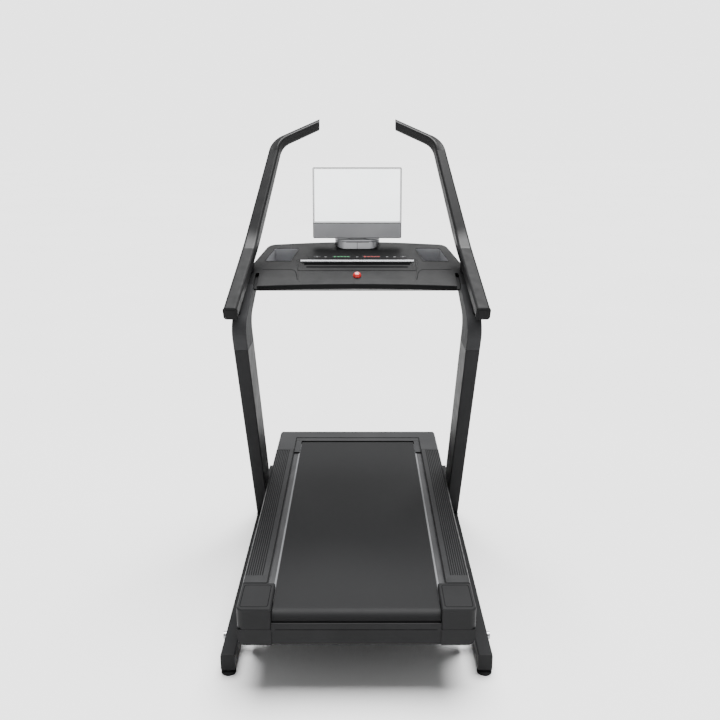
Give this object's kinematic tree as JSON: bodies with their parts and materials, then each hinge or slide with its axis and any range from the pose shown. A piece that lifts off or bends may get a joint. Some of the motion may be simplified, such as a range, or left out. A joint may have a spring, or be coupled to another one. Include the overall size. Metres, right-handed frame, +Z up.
{
  "type": "incline treadmill",
  "caption": "Incline treadmill with a hinged running deck, leaning uprights, a sloping console, a swivel screen and long cranked handlebars.",
  "frame": {"origin": "on the floor under the middle of the footprint", "axes": "+X to the right of a person using it, +Y the way that person faces, +Z up"},
  "size_m": [0.9946, 1.78, 1.8625],
  "materials": {
    "powder_coat": "satin",
    "zinc_steel": "satin",
    "steel_trim": "brushed",
    "aluminium_parts": "satin",
    "foot_rail_aluminium": "anodised",
    "dark_plastic": "matte",
    "console_plastic": "matte",
    "trim_plastic": "gloss",
    "grey_plastic": "matte",
    "key_plastic": "matte",
    "red_plastic": "gloss",
    "bin_plastic": "matte",
    "grip_rubber": "matte",
    "pad_rubber": "matte",
    "belt_rubber": "matte",
    "screen": "gloss",
    "board_wood": "laminate",
    "circuit_green": "gloss"
  },
  "bodies": {
    "frame": {"base_rail_left": "powder_coat", "base_rail_right": "powder_coat", "rail_end_caps": "dark_plastic", "base_front_tube": "powder_coat", "base_middle_tube": "powder_coat", "pivot_bolts": "zinc_steel", "upright_left": "powder_coat", "upright_right": "powder_coat", "frame_bolts": "zinc_steel", "console_arm_left": "dark_plastic", "console_arm_right": "dark_plastic", "console_crossbeam": "powder_coat", "console_lower_shell": "dark_plastic", "console_upper_shell": "console_plastic", "console_center_insert": "console_plastic", "tablet_ledge_bar": "steel_trim", "control_panel": "console_plastic", "cup_holders": "bin_plastic", "console_circuit_board": "circuit_green", "handlebar_left": "powder_coat", "handlebar_right": "powder_coat", "handlebar_sleeves": "grip_rubber", "handlebar_brackets": "powder_coat", "monitor_pedestal": "console_plastic"},
    "deck": {"deck_frame_left": "powder_coat", "deck_frame_right": "powder_coat", "deck_cross_members": "powder_coat", "deck_board": "board_wood", "deck_cushions": "pad_rubber", "tread_belt": "belt_rubber", "foot_rail_left": "foot_rail_aluminium", "foot_rail_right": "foot_rail_aluminium", "motor_hood": "dark_plastic", "motor_pan": "dark_plastic", "rear_cap_left": "dark_plastic", "rear_cap_right": "dark_plastic", "rear_cross_cover": "dark_plastic", "rear_skirts": "dark_plastic", "drive_motor": "powder_coat", "drive_belt": "pad_rubber", "roller_axles": "zinc_steel"},
    "front_roller": {"front_roller": "aluminium_parts"},
    "rear_roller": {"rear_roller": "aluminium_parts"},
    "motor_shaft": {"motor_shaft": "zinc_steel"},
    "actuator_body": {"actuator_body": "aluminium_parts"},
    "actuator_rod": {"actuator_rod": "zinc_steel"},
    "transport_wheel_left": {"transport_wheel_left": "pad_rubber"},
    "transport_wheel_right": {"transport_wheel_right": "pad_rubber"},
    "levelling_foot_left": {"levelling_foot_left": "pad_rubber"},
    "levelling_foot_right": {"levelling_foot_right": "pad_rubber"},
    "swivel_neck": {"swivel_neck": "trim_plastic"},
    "monitor": {"monitor_shell": "trim_plastic", "monitor_bezel": "trim_plastic", "screen_glass": "screen", "speaker_panel": "grey_plastic"},
    "safety_key": {"safety_key": "red_plastic"},
    "start_button": {"start_button": "key_plastic"},
    "stop_button": {"stop_button": "key_plastic"},
    "incline_rocker": {"incline_rocker": "key_plastic"},
    "speed_rocker": {"speed_rocker": "key_plastic"}
  },
  "joints": [
    {"name": "deck_incline", "type": "hinge", "parent": "frame", "child": "deck", "pos_m": [0, -0.65, 0.06], "axis": [1, 0, 0], "range_deg": [-3.4, 21.8]},
    {"name": "actuator_swing", "type": "hinge", "parent": "frame", "child": "actuator_body", "pos_m": [0, -0.15, 0.048], "axis": [1, 0, 0], "range_deg": [-6.49, 1.27]},
    {"name": "actuator_extend", "type": "slide", "parent": "actuator_body", "child": "actuator_rod", "axis": [0, -0.862, 0.5069], "range_m": [-0.0168, 0.102]},
    {"name": "motor_spin", "type": "hinge", "parent": "deck", "child": "motor_shaft", "pos_m": [0, 0.812, 0.232], "axis": [1, 0, 0], "continuous": true},
    {"name": "front_roller_spin", "type": "hinge", "parent": "deck", "child": "front_roller", "pos_m": [0, 0.705, 0.2582], "axis": [1, 0, 0], "continuous": true},
    {"name": "rear_roller_spin", "type": "hinge", "parent": "deck", "child": "rear_roller", "pos_m": [0, -0.845, 0.2582], "axis": [1, 0, 0], "continuous": true},
    {"name": "transport_wheel_left_spin", "type": "hinge", "parent": "frame", "child": "transport_wheel_left", "pos_m": [-0.402, 0.852, 0.036], "axis": [1, 0, 0], "continuous": true},
    {"name": "levelling_foot_left_turn", "type": "hinge", "parent": "frame", "child": "levelling_foot_left", "pos_m": [-0.446, -0.779, 0], "axis": [0, 0, 1], "continuous": true},
    {"name": "transport_wheel_right_spin", "type": "hinge", "parent": "frame", "child": "transport_wheel_right", "pos_m": [0.402, 0.852, 0.036], "axis": [1, 0, 0], "continuous": true},
    {"name": "levelling_foot_right_turn", "type": "hinge", "parent": "frame", "child": "levelling_foot_right", "pos_m": [0.446, -0.779, 0], "axis": [0, 0, 1], "continuous": true},
    {"name": "screen_swivel", "type": "hinge", "parent": "frame", "child": "swivel_neck", "pos_m": [0, 0.395, 1.352], "axis": [0, 0, 1], "range_deg": [-180, 180]},
    {"name": "screen_tilt", "type": "hinge", "parent": "swivel_neck", "child": "monitor", "pos_m": [0, 0.392, 1.408], "axis": [-1, 0, 0], "range_deg": [-5, 20]},
    {"name": "safety_key_pull", "type": "slide", "parent": "frame", "child": "safety_key", "axis": [0, -0.3338, 0.9426], "range_m": [0, 0.03]},
    {"name": "start_button_press", "type": "slide", "parent": "frame", "child": "start_button", "axis": [0, 0.3338, -0.9426], "range_m": [0, 0.001], "stiffness_N_per_m": 900, "springref_m": -0.001},
    {"name": "stop_button_press", "type": "slide", "parent": "frame", "child": "stop_button", "axis": [0, 0.3338, -0.9426], "range_m": [0, 0.001], "stiffness_N_per_m": 900, "springref_m": -0.001},
    {"name": "incline_rocker_tip", "type": "hinge", "parent": "frame", "child": "incline_rocker", "pos_m": [-0.172, 0.27654, 1.28887], "axis": [1, 0, 0], "range_deg": [-5, 5], "stiffness_Nm_per_rad": 0.2},
    {"name": "speed_rocker_tip", "type": "hinge", "parent": "frame", "child": "speed_rocker", "pos_m": [0.196, 0.27654, 1.28887], "axis": [1, 0, 0], "range_deg": [-5, 5], "stiffness_Nm_per_rad": 0.2}
  ],
  "couplings": [
    {"joint": "actuator_swing", "follows": "deck_incline", "ratio": -0.284},
    {"joint": "actuator_extend", "follows": "deck_incline", "m_per_rad": 0.2655},
    {"joint": "front_roller_spin", "follows": "motor_spin", "ratio": 0.4},
    {"joint": "rear_roller_spin", "follows": "motor_spin", "ratio": 0.4}
  ]
}
